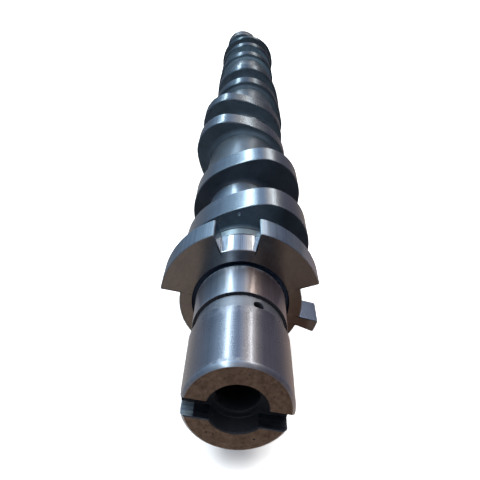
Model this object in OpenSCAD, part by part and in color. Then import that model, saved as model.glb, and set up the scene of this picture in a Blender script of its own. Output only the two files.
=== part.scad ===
// Overhead camshaft for an inline four-cylinder engine, two cams per cylinder.
// One casting with turned and ground journals, lying on its cams with its
// axis level. The axis runs along Y. The slotted drive end faces -Y, and
// angles are measured about the axis from +X towards +Z.
// The origin is on the axis, half way along the slotted end's journal.

/* [Bearing journals] */
// Diameter of the five bearing journals
journal_d = 25; // [24:0.25:26]
// Length from the slotted end face to the oil groove
end_journal_l = 21.5; // [18:0.5:24]
// Chamfer on the slotted end, across the diameter
end_chamfer = 1.56; // [0.6:0.1:2]
// Diameter at the bottom of the oil groove
groove_d = 22.8; // [21.5:0.1:24]
// Width of the oil groove
groove_w = 6; // [4:0.5:7]
// Diameter of the band between the oil groove and the timing wheel
band_d = 24.4; // [23.8:0.1:25]
// Diameter of the oil hole in the groove
oil_hole_d = 2.5; // [2:0.1:3.5]
// Angle of the oil hole
oil_hole_angle = 67; // [60:0.5:80]

/* [Drive slot] */
// Width of the slot across the end face
slot_w = 4.83; // [4:0.01:5.5]
// Depth of the slot
slot_depth = 4.8; // [3:0.1:6]
// Distance of the slot's centre line below the axis
slot_offset = 1.55; // [0:0.05:1.8]
// Angle that the slot runs at
slot_angle = -9.8; // [-15:0.1:0]
// Diameter of the counterbore
counterbore_d = 13.5; // [12.5:0.1:15]
// Diameter of the bore below the counterbore
bore_d = 10; // [8:0.1:11]
// Depth of the bore from the end face
bore_depth = 34; // [28:1:58]

/* [Timing wheel] */
// Distance from the end face to the wheel's front face
wheel_y = 40.4; // [38:0.1:42]
// Thickness of the wheel
wheel_w = 8.95; // [8:0.05:10]
// Diameter over the wheel's rim
wheel_d = 44.4; // [42:0.1:46]
// Diameter of the hub and of the notch's floor
hub_d = 33.6; // [31:0.1:35]
// Angle where the long tooth begins
long_tooth_from = 17.9; // [10:0.1:30]
// Angle where the long tooth ends
long_tooth_to = 169.8; // [150:0.1:175]
// Angle where the notch in the long tooth begins
notch_from = 77.8; // [60:0.1:85]
// Angle where the notch ends
notch_to = 109.3; // [100:0.1:130]
// Angle where the short tooth begins
short_tooth_from = -23.3; // [-30:0.1:-18]
// Angle where the short tooth ends
short_tooth_to = -12.9; // [-16:0.1:-5]
// Width of the tapered undercut around the band, in the wheel's face
undercut_w = 1.06; // [0.8:0.02:1.3]
// Depth of the undercut
undercut_depth = 1.5; // [0.5:0.1:2]

/* [Cams] */
// Diameter of the cams' base circle
base_d = 36; // [34:0.5:37]
// How far the nose stands above the base circle
lift = 5.2; // [4:0.1:6.5]
// Radius of the cam's nose
nose_r = 13.4; // [12:0.1:14.5]
// Radius of the cams' flanks
flank_r = 40; // [32:1:80]
// Width of each cam
cam_w = 12.7; // [10:0.1:14]
// Distance from the end face to the first cam
first_cam_y = 61.4; // [60:0.1:64]
// Distance between the fronts of the two cams of a cylinder
cam_pitch = 38.9; // [37:0.1:41]
// Distance between neighbouring cylinders
cylinder_pitch = 86.6; // [84:0.1:90]
// Angle of the first cylinder's cam noses
first_nose = 48; // [30:1:60]

/* [Shaft] */
// Diameter behind the timing wheel
front_shaft_d = 26.2; // [24:0.1:30]
// Diameter between neighbouring cylinders
mid_shaft_d = 30.8; // [28:0.1:33]
// Diameter of the short turned neck in front of each cylinder
mid_neck_d = 30.2; // [27:0.1:31]
// Length of that neck
mid_neck_l = 5.2; // [3:0.1:8]
// Diameter of the relief at both ends of a bearing journal
relief_d = 23.2; // [22:0.1:24]
// Length of the relief
relief_l = 2.3; // [1.5:0.1:3]

/* [Far end] */
// Diameter of the neck behind the last cam
far_neck_d = 26.2; // [24:0.1:30]
// Length of that neck
far_neck_l = 12.8; // [10:0.1:16]
// Diameter of the thrust collar
collar_d = 39.3; // [36:0.1:42]
// Width of the thrust collar
collar_w = 9.2; // [6:0.1:12]
// Diameter of the base circle of the eccentric behind the collar
eccentric_d = 27.9; // [26:0.1:30]
// Radius of the eccentric's nose
eccentric_nose_r = 12; // [10:0.1:13]
// Distance from the axis to the middle of that nose
eccentric_reach = 9.6; // [7:0.1:11]
// Radius of the eccentric's flanks
eccentric_flank_r = 90; // [60:5:200]
// Angle of the eccentric's nose
eccentric_angle = 117; // [100:1:130]
// Width of the eccentric
eccentric_w = 20; // [15:0.5:25]
// Diameter of the seat for the drive wheel
seat_d = 24; // [22:0.5:25.5]
// Length of that seat
seat_l = 15; // [12:0.5:20]
// Core diameter of the threaded hole in the seat
bolt_hole_d = 8.5; // [6.8:0.1:10.5]
// Depth of the threaded hole
bolt_hole_depth = 26; // [20:1:32]

/* [Hidden] */
$fn = 128;

cylinders = 4;
// Order of the cylinders' noses, in quarter turns from the first
quarter_turns = [0, 1, -1, 2];
datum_y = end_journal_l / 2;
band_y = end_journal_l + groove_w;
wheel_end_y = wheel_y + wheel_w;
last_cam_y = first_cam_y + (cylinders - 1) * cylinder_pitch + cam_pitch + cam_w;
collar_y = last_cam_y + far_neck_l;
eccentric_y = collar_y + collar_w;
seat_y = eccentric_y + eccentric_w;
total_l = seat_y + seat_l;
undercut_r = band_d / 2 + undercut_w;

function cylinder_y(i) = first_cam_y + i * cylinder_pitch;
function polar(r, a) = [r * cos(a), r * sin(a)];

// A flat outline carried along the axis for a length l, starting at y
module along(y, l) {
    translate([0, y + l, 0]) rotate([90, 0, 0]) linear_extrude(l) children();
}

// A round length of shaft
module round_bar(y, l, d) {
    translate([0, y, 0]) rotate([-90, 0, 0]) cylinder(d = d, h = l);
}

// Outline of a cam: base circle and nose circle, joined by flanks that touch
// both and bulge with radius side_r. s is 1 for one flank and -1 for the other.
module cam_outline(base_r, tip_r, reach, side_r) {
    from_base = side_r - base_r;
    from_tip = side_r - tip_r;
    a = acos((from_base ^ 2 + reach ^ 2 - from_tip ^ 2) / (2 * from_base * reach));
    function centre(s) = polar(from_base, -s * a);
    function unit(v) = v / norm(v);
    function low(s, r) = centre(s) - unit(centre(s)) * r;
    function high(s, r) = centre(s) + unit([reach, 0] - centre(s)) * r;
    function flank(s) = [
        low(s, side_r), low(s, side_r + 1), high(s, side_r + 1), high(s, side_r)
    ];
    circle(r = base_r);
    translate([reach, 0]) circle(r = tip_r);
    intersection() {
        translate(centre(1)) circle(r = side_r);
        translate(centre(-1)) circle(r = side_r);
        polygon(concat(flank(1), [for (i = [3 : -1 : 0]) flank(-1)[i]]));
    }
}

module cam(y, w, base_r, tip_r, reach, side_r, angle) {
    along(y, w) rotate(angle) cam_outline(base_r, tip_r, reach, side_r);
}

// Wedge between two angles that are less than 180 degrees apart
module wedge(from, to) {
    far = wheel_d;
    mid = (from + to) / 2;
    polygon([[0, 0], polar(far, from), polar(far * 2, mid), polar(far, to)]);
}

// The slotted end, its journal, the oil groove and the band, as turned
module drive_end() {
    r = journal_d / 2;
    c = end_chamfer / 2;
    rotate([-90, 0, 0]) rotate_extrude() polygon([
        [0, 0],
        [r - c, 0],
        [r, c * 0.9],
        [r, end_journal_l],
        [groove_d / 2, end_journal_l],
        [groove_d / 2, band_y],
        [band_d / 2, band_y],
        [band_d / 2, wheel_end_y],
        [0, wheel_end_y]
    ]);
}

// Toothed wheel for the timing sensor: a long tooth with a notch in it,
// and a short tooth
module timing_wheel() {
    difference() {
        union() {
            round_bar(wheel_y, wheel_w, hub_d);
            intersection() {
                round_bar(wheel_y, wheel_w, wheel_d);
                along(wheel_y, wheel_w) {
                    wedge(long_tooth_from, notch_from);
                    wedge(notch_to, long_tooth_to);
                    wedge(short_tooth_from, short_tooth_to);
                }
            }
        }
        rotate([-90, 0, 0]) rotate_extrude() polygon([
            [band_d / 2, wheel_y - 1],
            [undercut_r, wheel_y - 1],
            [undercut_r, wheel_y],
            [(band_d / 2 + undercut_r) / 2, wheel_y + undercut_depth],
            [band_d / 2, wheel_y + undercut_depth]
        ]);
    }
}

// The two cams of one cylinder with the bearing journal between them
module cylinder_pair(i) {
    y = cylinder_y(i);
    angle = first_nose + 90 * quarter_turns[i];
    reach = base_d / 2 + lift - nose_r;
    gap = cam_pitch - cam_w;
    cam(y, cam_w, base_d / 2, nose_r, reach, flank_r, angle);
    cam(y + cam_pitch, cam_w, base_d / 2, nose_r, reach, flank_r, angle);
    round_bar(y + cam_w, gap, relief_d);
    round_bar(y + cam_w + relief_l, gap - 2 * relief_l, journal_d);
}

// Shaft between one cylinder's cams and the next cylinder's
module mid_shaft(i) {
    y = cylinder_y(i) + cam_pitch + cam_w;
    l = cylinder_y(i + 1) - y;
    round_bar(y, l, mid_neck_d);
    round_bar(y, l - mid_neck_l, mid_shaft_d);
}

// Thrust collar, eccentric and the seat for the drive wheel
module far_end() {
    round_bar(last_cam_y, far_neck_l, far_neck_d);
    round_bar(collar_y, collar_w, collar_d);
    cam(eccentric_y, eccentric_w, eccentric_d / 2, eccentric_nose_r,
        eccentric_reach, eccentric_flank_r, eccentric_angle);
    rotate([-90, 0, 0]) rotate_extrude() polygon([
        [0, seat_y - 2],
        [seat_d / 2, seat_y - 2],
        [seat_d / 2, total_l - 1],
        [seat_d / 2 - 1, total_l],
        [0, total_l]
    ]);
}

// Slot, counterbore, bore, oil hole and threaded hole
module cuts() {
    round_bar(-1, slot_depth + 1, counterbore_d);
    round_bar(-1, bore_depth + 1, bore_d);
    rotate([0, -slot_angle, 0])
        translate([-journal_d, -1, -slot_offset - slot_w / 2])
            cube([2 * journal_d, slot_depth + 1, slot_w]);
    translate([0, end_journal_l + 0.43 * groove_w, 0])
        rotate([0, 90 - oil_hole_angle, 0])
            cylinder(d = oil_hole_d, h = journal_d);
    round_bar(total_l - bolt_hole_depth, bolt_hole_depth + 1, bolt_hole_d);
}

module camshaft() {
    color("slategray") translate([0, -datum_y, 0]) difference() {
        union() {
            drive_end();
            timing_wheel();
            round_bar(wheel_end_y, first_cam_y - wheel_end_y, front_shaft_d);
            for (i = [0 : cylinders - 1]) cylinder_pair(i);
            for (i = [0 : cylinders - 2]) mid_shaft(i);
            far_end();
        }
        cuts();
    }
}

camshaft();
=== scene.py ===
import math

import bpy
import bmesh
import numpy as np
from mathutils import Matrix, Vector


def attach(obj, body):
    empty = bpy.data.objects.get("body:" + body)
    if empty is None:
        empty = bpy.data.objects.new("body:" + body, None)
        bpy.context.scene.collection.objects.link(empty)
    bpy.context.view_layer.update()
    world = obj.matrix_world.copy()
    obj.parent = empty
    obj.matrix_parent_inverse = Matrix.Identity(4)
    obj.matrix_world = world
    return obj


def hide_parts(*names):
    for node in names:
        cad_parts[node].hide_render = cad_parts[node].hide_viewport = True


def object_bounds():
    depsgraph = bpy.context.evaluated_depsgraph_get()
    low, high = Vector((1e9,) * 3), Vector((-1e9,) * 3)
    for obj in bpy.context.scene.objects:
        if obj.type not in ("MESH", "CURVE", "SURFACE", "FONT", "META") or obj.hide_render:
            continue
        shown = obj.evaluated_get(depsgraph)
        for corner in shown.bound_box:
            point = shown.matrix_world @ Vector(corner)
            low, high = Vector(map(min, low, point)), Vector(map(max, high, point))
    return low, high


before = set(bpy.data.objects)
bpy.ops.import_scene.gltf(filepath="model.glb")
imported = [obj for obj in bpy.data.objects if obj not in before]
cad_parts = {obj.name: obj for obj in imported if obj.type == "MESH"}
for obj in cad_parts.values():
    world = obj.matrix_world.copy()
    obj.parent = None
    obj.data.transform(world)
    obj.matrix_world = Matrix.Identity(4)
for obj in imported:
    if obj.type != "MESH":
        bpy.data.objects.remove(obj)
CAD_BOX = [list(map(float, c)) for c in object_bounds()]

# ---------------------------------------------------------------- dimensions
# Millimetres, with y from the slotted end face. DATUM is where the frame's
# origin lies, on the axis half way along the end journal.
DATUM = 10.75
JOURNAL_R = 12.5
END_L = 21.5
GROOVE_R = 11.4
BAND_Y, BAND_R = 27.5, 12.2
WHEEL_Y, WHEEL_W, WHEEL_R, HUB_R = 40.4, 8.95, 22.2, 16.8
UNDERCUT_R, UNDERCUT_D = 13.26, 1.5
WALLS = dict(long=(17.9, 169.8), notch=(77.8, 109.3), short=(-23.3, -12.9))
BASE_R, LIFT, NOSE_R, FLANK_R, CAM_W = 18.0, 5.2, 13.4, 40.0, 12.7
FIRST_CAM, CAM_PITCH, CYL_PITCH = 61.4, 38.9, 86.6
NOSES = (48.0, 138.0, -42.0, 228.0)
FRONT_SHAFT_R, MID_R, MID_NECK_R, MID_NECK_L = 13.1, 15.4, 15.1, 5.2
RELIEF_R, RELIEF_L = 11.6, 2.3
LAST_CAM = FIRST_CAM + 3 * CYL_PITCH + CAM_PITCH + CAM_W
COLLAR_Y, COLLAR_W, COLLAR_R = LAST_CAM + 12.8, 9.2, 19.65
ECC_Y, ECC_W = COLLAR_Y + COLLAR_W, 20.0
ECC_R, ECC_NOSE, ECC_REACH, ECC_FLANK, ECC_ANGLE = 13.95, 12.0, 9.6, 90.0, 117.0
SEAT_Y = ECC_Y + ECC_W
SEAT_R, SEAT_L = 12.0, 15.0
TOTAL = SEAT_Y + SEAT_L
SLOT_W, SLOT_D, SLOT_OFF, SLOT_A = 4.83, 4.8, 1.55, -9.8
BORE_R, BORE_D, CBORE_R = 5.0, 34.0, 6.75
OIL_R, OIL_A, OIL_Y = 1.25, 67.0, 24.08
BOLT_R, BOLT_D = 4.25, 26.0

# ------------------------------------------------------------------ outlines
EDGE = 0.45      # rounding of the wheel's teeth, seen end on
ROOT = 0.2      # fillet where a tooth meets the hub
NCOL = 224


def wheel_columns():
    """Outline of the timing wheel, anticlockwise, as (angle, point, normal).
    Each radial wall has its own columns, so that it stays flat and crisp."""
    d = math.degrees
    cols = []

    def wall(a, side):
        # side +1: the tooth lies at angles above a; -1: below it
        out = []
        e = d(EDGE / WHEEL_R)
        for t in (90, 60, 30, 0):
            # t is the turn of the rounding, from the rim (90) to the wall (0)
            off = EDGE * (1 - math.cos(math.radians(t)))
            r = WHEEL_R - EDGE * (1 - math.sin(math.radians(t)))
            ang = a + side * (0.012 + d(off / WHEEL_R))
            nt = math.cos(math.radians(t))
            nr = math.sin(math.radians(t))
            out.append((ang, r, nr, -side * nt))
        f = d(ROOT / HUB_R)
        for t in (0, 30, 60, 90):
            # from the wall (0) down to the hub (90)
            off = ROOT * (1 - math.cos(math.radians(t)))
            r = HUB_R + ROOT * (1 - math.sin(math.radians(t)))
            ang = a - side * (0.012 + d(off / HUB_R))
            nt = math.cos(math.radians(t))
            nr = math.sin(math.radians(t))
            out.append((ang, r, nr, -side * nt))
        return out if side < 0 else out[::-1]

    special = []
    for a, side in (
        (WALLS["short"][0], 1), (WALLS["short"][1], -1),
        (WALLS["long"][0], 1), (WALLS["notch"][0], -1),
        (WALLS["notch"][1], 1), (WALLS["long"][1], -1),
    ):
        special += wall(a, side)
    taken = [s[0] for s in special]

    def on_tooth(a):
        def between(lo, hi):
            return lo < (a - lo) % 360 + lo < hi
        long_t = between(*WALLS["long"]) and not between(*WALLS["notch"])
        return long_t or between(*WALLS["short"])

    plain = []
    for i in range(NCOL):
        a = -30 + 360.0 * i / NCOL
        if min(abs((a - t + 180) % 360 - 180) for t in taken) < 0.6:
            continue
        plain.append((a, WHEEL_R if on_tooth(a) else HUB_R, 1.0, 0.0))
    allc = sorted(special + plain, key=lambda c: c[0])
    return allc


COLS = wheel_columns()
TH = np.radians([c[0] for c in COLS])
N = len(TH)
COS, SIN = np.cos(TH), np.sin(TH)
RAD = np.stack([COS, SIN], 1)
TAN = np.stack([-SIN, COS], 1)
W_R = np.array([c[1] for c in COLS])
W_N = RAD * np.array([c[2] for c in COLS])[:, None] + TAN * np.array([c[3] for c in COLS])[:, None]
W_P = RAD * W_R[:, None]


def circle(r):
    return RAD * r


def cam_outline(base, tip, reach, side, angle):
    """(points, outward normals) of a base circle and a nose circle joined by
    flanks of radius side that touch both, at the shared columns."""
    from_base, from_tip = side - base, side - tip
    a = math.acos((from_base ** 2 + reach ** 2 - from_tip ** 2) / (2 * from_base * reach))
    phi = (TH - math.radians(angle) + math.pi) % (2 * math.pi) - math.pi
    s = np.abs(phi)
    # in a frame with the nose along +x, mirrored to its upper half
    cx, cz = from_base * math.cos(a), -from_base * math.sin(a)
    touch = np.array([reach - cx, -cz]) / from_tip * tip + np.array([reach, 0.0])
    pn, pb = math.atan2(touch[1], touch[0]), math.pi - a
    nose = reach * np.cos(s) + np.sqrt(np.maximum(tip ** 2 - (reach * np.sin(s)) ** 2, 0))
    dot = cx * np.cos(s) + cz * np.sin(s)
    flank = dot + np.sqrt(np.maximum(side ** 2 - from_base ** 2 + dot ** 2, 0))
    r = np.where(s >= pb, base, np.where(s <= pn, nose, flank))
    px, pz = r * np.cos(s), r * np.sin(s)
    nx = np.where(s >= pb, px / base, np.where(s <= pn, (px - reach) / tip, (px - cx) / side))
    nz = np.where(s >= pb, pz / base, np.where(s <= pn, pz / tip, (pz - cz) / side))
    nz = nz * np.where(phi < 0, -1.0, 1.0)
    c = math.radians(angle)
    n = np.stack([nx * math.cos(c) - nz * math.sin(c), nx * math.sin(c) + nz * math.cos(c)], 1)
    return RAD * r[:, None], n


# -------------------------------------------------------------------- lathe
(GROUND, CAMFACE, CAST, FACE, GROOVE, SHAFT, DARK, NECK, RIM, ENDFACE, WALL, MILLED, BAND, FLOOR, TURNED,
 NOTCH, CHAMFER, BORE, UNDER, INNER) = range(20)
SLOTS = ["ground journal", "ground cam", "as-cast side", "turned face",
         "oil groove", "as-cast shaft", "undercut", "relief", "turned rim", "end face", "tooth wall", "milled slot",
         "ground band", "notch floor", "turned shaft",
         "notch wall", "chamfer", "bore", "wheel undercut", "inner journal"]
rings, strips = [], []


def ring(y, pts, mat):
    rings.append(np.column_stack([pts[:, 0], np.full(N, y - DATUM), pts[:, 1]]))
    strips.append(mat)


ROUND = (0, 30, 60, 90)


LONG_FOOT = (0, 15, 30, 45, 60, 75, 90)


def foot(y, r0, P, c, f, high, side, face, low, turns):
    """Fillet between a shaft of radius r0 and a face at y: f long and up to
    high tall, less where the face is low. Its lower part has the material low."""
    tall = np.minimum(high, 0.8 * (np.linalg.norm(P, axis=1) - c - 0.12 - r0))
    for t in turns:
        u = math.radians(t)
        r = r0 + tall * (1 - math.cos(u))
        mat = low if t < 60 else face
        if t == 0 and side < 0:
            mat = strips_mat
        ring(y + side * f * (1 - math.sin(u)), RAD * r[:, None], mat)


def step_up(y, r0, P, Nn, f, c, face, rim, high=None, low=None):
    """From a shaft of radius r0 up a flat face at y to the outline P: a fillet
    at its foot and a rounded edge c at its top."""
    foot(y, r0, P, c, f, high or f, -1, face, face if low is None else low, LONG_FOOT if high else ROUND)
    ring(y, P - Nn * (c + 0.12), face)
    for t in ROUND:
        u = math.radians(t)
        ring(y + c * (1 - math.cos(u)), P - Nn * (c * (1 - math.sin(u))), face if t == 0 else rim)


def step_down(y, r0, P, Nn, f, c, face, rim, high=None):
    for t in ROUND[::-1]:
        u = math.radians(t)
        ring(y - c * (1 - math.cos(u)), P - Nn * (c * (1 - math.sin(u))), rim)
    ring(y, P - Nn * (c + 0.12), face)
    foot(y, r0, P, c, f, high or f, 1, face, face, LONG_FOOT[::-1] if high else ROUND[::-1])


strips_mat = GROUND
# slotted end
ring(0, circle(3.0), ENDFACE)
ring(0, circle(9.5), ENDFACE)
ring(0, circle(11.56), ENDFACE)
ring(0, circle(11.68), ENDFACE)
ring(0.05, circle(11.77), CHAMFER)
ring(0.62, circle(12.38), CHAMFER)
ring(0.80, circle(12.45), CHAMFER)
ring(1.10, circle(12.487), CHAMFER)
ring(1.45, circle(12.5), GROUND)
for y in (4.0, 8.0, 12.0, 16.0, 20.0):
    ring(y, circle(12.5), GROUND)
ring(21.15, circle(12.5), GROUND)
ring(21.3, circle(12.47), GROUND)
ring(21.42, circle(12.38), GROUND)
ring(21.5, circle(12.22), GROUND)
# oil groove
ring(21.5, circle(11.75), GROOVE)
ring(21.6, circle(11.52), GROOVE)
ring(21.85, circle(11.4), GROOVE)
for y in (22.6, 25.2, 26.6, 27.08):
    ring(y, circle(11.4), GROOVE)
ring(27.15, circle(11.37), GROOVE)
ring(27.18, circle(11.2), DARK)
ring(27.25, circle(11.15), DARK)
ring(27.45, circle(11.15), DARK)
ring(27.5, circle(11.25), DARK)
ring(27.5, circle(12.12), DARK)
ring(27.53, circle(12.17), BAND)
ring(27.62, circle(12.2), BAND)
for y in (30.0, 34.0, 38.0):
    ring(y, circle(12.2), BAND)
# undercut in the wheel's face
ring(40.0, circle(12.2), BAND)
ring(40.22, circle(12.14), BAND)
ring(40.36, circle(12.0), BAND)
ring(40.44, circle(11.85), UNDER)
ring(41.9, circle(11.85), UNDER)
ring(41.9, circle(12.35), UNDER)
ring(41.9, circle(13.1), UNDER)
ring(41.65, circle(13.26), UNDER)
ring(40.62, circle(13.26), UNDER)
ring(40.46, circle(13.32), UNDER)
ring(40.4, circle(13.5), FACE)
# timing wheel
c = 0.22
ring(WHEEL_Y, circle(15.2), FACE)
ring(WHEEL_Y, W_P - W_N * (c + 0.15), FACE)
for t in ROUND:
    u = math.radians(t)
    ring(WHEEL_Y + c * (1 - math.cos(u)), W_P - W_N * (c * (1 - math.sin(u))), FACE if t == 0 else RIM)
for y in (WHEEL_Y + 3, WHEEL_Y + 6):
    ring(y, W_P, RIM)
yr = WHEEL_Y + WHEEL_W
for t in ROUND[::-1]:
    u = math.radians(t)
    ring(yr - c * (1 - math.cos(u)), W_P - W_N * (c * (1 - math.sin(u))), RIM)
ring(yr, W_P - W_N * (c + 0.15), CAST)
ring(yr, circle(14.2), CAST)
ring(yr + 0.3, circle(13.4), CAST)
ring(yr + 1.1, circle(13.1), CAST)
ring(FIRST_CAM - 4.4, circle(13.1), NECK)
ring(FIRST_CAM - 4, circle(13.1), TURNED)

# cams, journals and the shaft between the cylinders
REACH = BASE_R + LIFT - NOSE_R
for i, nose in enumerate(NOSES):
    P, Nn = cam_outline(BASE_R, NOSE_R, REACH, FLANK_R, nose)
    y = FIRST_CAM + i * CYL_PITCH
    before = FRONT_SHAFT_R if i == 0 else MID_NECK_R
    strips_mat = SHAFT if i else TURNED
    e = (0.25, 0.3, 0.45, 0.55, 0.65, 0.7, 0.75, 0.75)[2 * i:2 * i + 2]
    g = (0.3, 0.8, 0.8, 1.0, 1.0, 1.1, 1.1, 1.1)[2 * i:2 * i + 2]
    if i:
        step_up(y, before, P, Nn, 2.4, e[0], CAST, CAMFACE, 2.6)
    else:
        step_up(y, before, P, Nn, 1.1, e[0], CAST, CAMFACE, 1.1, SHAFT)
    ring(y + CAM_W / 2, P, CAMFACE)
    step_down(y + CAM_W, RELIEF_R, P, Nn, 0.6, g[0], CAST, CAMFACE)
    # bearing journal
    j0, j1 = y + CAM_W + RELIEF_L, y + CAM_PITCH - RELIEF_L
    ring(j0 - 0.25, circle(RELIEF_R), NECK)
    ring(j0, circle(RELIEF_R + 0.15), NECK)
    ring(j0, circle(12.25), NECK)
    ring(j0 + 0.08, circle(12.42), INNER)
    ring(j0 + 0.25, circle(12.5), INNER)
    for k in (1, 2, 3):
        ring(j0 + (j1 - j0) * k / 4, circle(12.5), INNER)
    ring(j1 - 0.25, circle(12.5), INNER)
    ring(j1 - 0.08, circle(12.42), INNER)
    ring(j1, circle(12.25), INNER)
    ring(j1, circle(RELIEF_R + 0.15), NECK)
    ring(j1 + 0.25, circle(RELIEF_R), NECK)
    y2 = y + CAM_PITCH
    strips_mat = NECK
    step_up(y2, RELIEF_R, P, Nn, 1.9, e[1], CAST, CAMFACE, 3.8 if i else 2.4, (NECK, SHAFT, CAMFACE, CAMFACE)[i])
    ring(y2 + CAM_W / 2, P, CAMFACE)
    after = MID_R if i < 3 else FRONT_SHAFT_R
    step_down(y2 + CAM_W, after, P, Nn, 3.6, g[1], SHAFT, CAMFACE, 4.0)
    if i < 3:
        yn = y + CYL_PITCH
        ring(yn - MID_NECK_L - 0.35, circle(MID_R), SHAFT)
        ring(yn - MID_NECK_L - 0.1, circle(MID_R - 0.08), SHAFT)
        ring(yn - MID_NECK_L, circle(MID_R - 0.22), GROUND)
        ring(yn - MID_NECK_L + 0.12, circle(MID_NECK_R), GROUND)

# far end
P, Nn = circle(COLLAR_R), RAD
strips_mat = SHAFT
step_up(COLLAR_Y, 13.1, P, Nn, 3.5, 0.7, SHAFT, CAMFACE, 4.0)
ring(COLLAR_Y + COLLAR_W / 2, P, CAMFACE)
PE, NE = cam_outline(ECC_R, ECC_NOSE, ECC_REACH, ECC_FLANK, ECC_ANGLE)
ye = ECC_Y
# the eccentric's nose stands higher than the collar, so the step between them
# is taken at each column from the lower outline to the higher one
for t in ROUND[::-1]:
    u = math.radians(t)
    ring(ye - 0.35 * (1 - math.cos(u)), P - Nn * (0.35 * (1 - math.sin(u))), CAMFACE)
ring(ye, PE - NE * 0.42, CAST)
for t in ROUND:
    u = math.radians(t)
    ring(ye + 0.3 * (1 - math.cos(u)), PE - NE * (0.3 * (1 - math.sin(u))), NECK)
ring(ye + ECC_W / 2, PE, NECK)
for t in ROUND[::-1]:
    u = math.radians(t)
    ring(SEAT_Y - 0.3 * (1 - math.cos(u)), PE - NE * (0.3 * (1 - math.sin(u))), NECK)
ring(SEAT_Y, PE - NE * 0.42, FACE)
ring(SEAT_Y, circle(12.35), FACE)
ring(SEAT_Y + 0.1, circle(12.06), FACE)
ring(SEAT_Y + 0.35, circle(12.0), GROUND)
ring(SEAT_Y + 7, circle(12.0), GROUND)
ring(TOTAL - 1.06, circle(12.0), GROUND)
ring(TOTAL - 0.96, circle(11.96), GROUND)
ring(TOTAL - 0.08, circle(11.08), GROUND)
ring(TOTAL, circle(10.94), GROUND)
ring(TOTAL, circle(8.0), FACE)
ring(TOTAL, circle(3.0), FACE)


def lathe_mesh(name):
    v = np.concatenate(rings + [np.array([[0, rings[0][0, 1], 0], [0, rings[-1][0, 1], 0]])]) * 0.001
    M = len(rings)
    faces, mats = [], []
    j = np.arange(N)
    jn = (j + 1) % N
    wall = np.abs(W_R[jn] - W_R) > 2.0   # the flat radial sides of the wheel's teeth
    deg = np.degrees(TH)
    notch = (deg > WALLS["notch"][0]) & (deg < WALLS["notch"][1] - 0.1)
    inner = (np.abs(deg - WALLS["notch"][0]) < 3) | (np.abs(deg - WALLS["notch"][1]) < 3)
    rim = np.where(wall, np.where(inner, NOTCH, WALL), np.where(notch, FLOOR, RIM))
    for k in range(1, M):
        a, b = (k - 1) * N, k * N
        for p, q in zip(j, jn):
            faces.append((a + p, a + q, b + q, b + p))
        if strips[k] == RIM and strips[k - 1] != GROUND:
            mats += rim.tolist()
        else:
            mats += [strips[k]] * N
    c0, c1 = M * N, M * N + 1
    for p, q in zip(j, jn):
        faces.append((c0, int(q), int(p)))
        mats.append(strips[0])
        faces.append((c1, (M - 1) * N + int(p), (M - 1) * N + int(q)))
        mats.append(FACE)
    me = bpy.data.meshes.new(name)
    me.from_pydata(v.tolist(), [], [tuple(map(int, f)) for f in faces])
    me.polygons.foreach_set("material_index", np.array(mats, np.int32))
    me.update()
    bm = bmesh.new()
    bm.from_mesh(me)
    bmesh.ops.recalc_face_normals(bm, faces=bm.faces)
    bm.to_mesh(me)
    bm.free()
    return me


def turned_cutter(name, prof, mat, n=96, phase=0.0):
    """Closed solid of revolution about the shaft's axis. prof: (radius, y)."""
    bm = bmesh.new()
    loops = []
    for r, y in prof:
        if r == 0:
            loops.append([bm.verts.new((0, (y - DATUM) * 0.001, 0))])
            continue
        loops.append([
            bm.verts.new((r * math.cos(phase + 2 * math.pi * k / n) * 0.001, (y - DATUM) * 0.001,
                          r * math.sin(phase + 2 * math.pi * k / n) * 0.001)) for k in range(n)])
    mats = mat if isinstance(mat, list) else [mat] * len(prof)
    for A, B, m in zip(loops, loops[1:], mats):
        for k in range(n):
            k2 = (k + 1) % n
            if len(A) == 1:
                f = bm.faces.new((A[0], B[k], B[k2]))
            elif len(B) == 1:
                f = bm.faces.new((A[k], B[0], A[k2]))
            else:
                f = bm.faces.new((A[k], B[k], B[k2], A[k2]))
            f.material_index = m
    bmesh.ops.recalc_face_normals(bm, faces=bm.faces)
    me = bpy.data.meshes.new(name)
    bm.to_mesh(me)
    bm.free()
    return me


def prism_cutter(name, poly, x0, x1, mats, angle):
    """Bar along the slot. poly: (y, across) outline, across measured towards
    +Z before the turn by angle about the shaft's axis. mats: one material for
    each side that follows a point of the outline."""
    bm = bmesh.new()
    ends = []
    for x in (x0, x1):
        ends.append([bm.verts.new((x * 0.001, (y - DATUM) * 0.001, z * 0.001)) for y, z in poly])
    n = len(poly)
    bm.faces.new(ends[0])
    bm.faces.new(ends[1][::-1])
    for k in range(n):
        k2 = (k + 1) % n
        bm.faces.new((ends[0][k], ends[1][k], ends[1][k2], ends[0][k2])).material_index = mats[k]
    bmesh.ops.recalc_face_normals(bm, faces=bm.faces)
    me = bpy.data.meshes.new(name)
    bm.to_mesh(me)
    bm.free()
    me.transform(Matrix.Rotation(math.radians(-angle), 4, "Y"))
    return me


def new_object(name, me):
    ob = bpy.data.objects.new(name, me)
    bpy.context.scene.collection.objects.link(ob)
    return ob


# ---------------------------------------------------------------- materials
def noise(nt, vec, scale, detail=4.0, rough=0.55, dims="3D"):
    n = nt.nodes.new("ShaderNodeTexNoise")
    n.noise_dimensions = dims
    n.inputs["Scale"].default_value = scale
    n.inputs["Detail"].default_value = detail
    n.inputs["Roughness"].default_value = rough
    nt.links.new(vec, n.inputs["Vector"])
    return n.outputs["Fac"]


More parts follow.
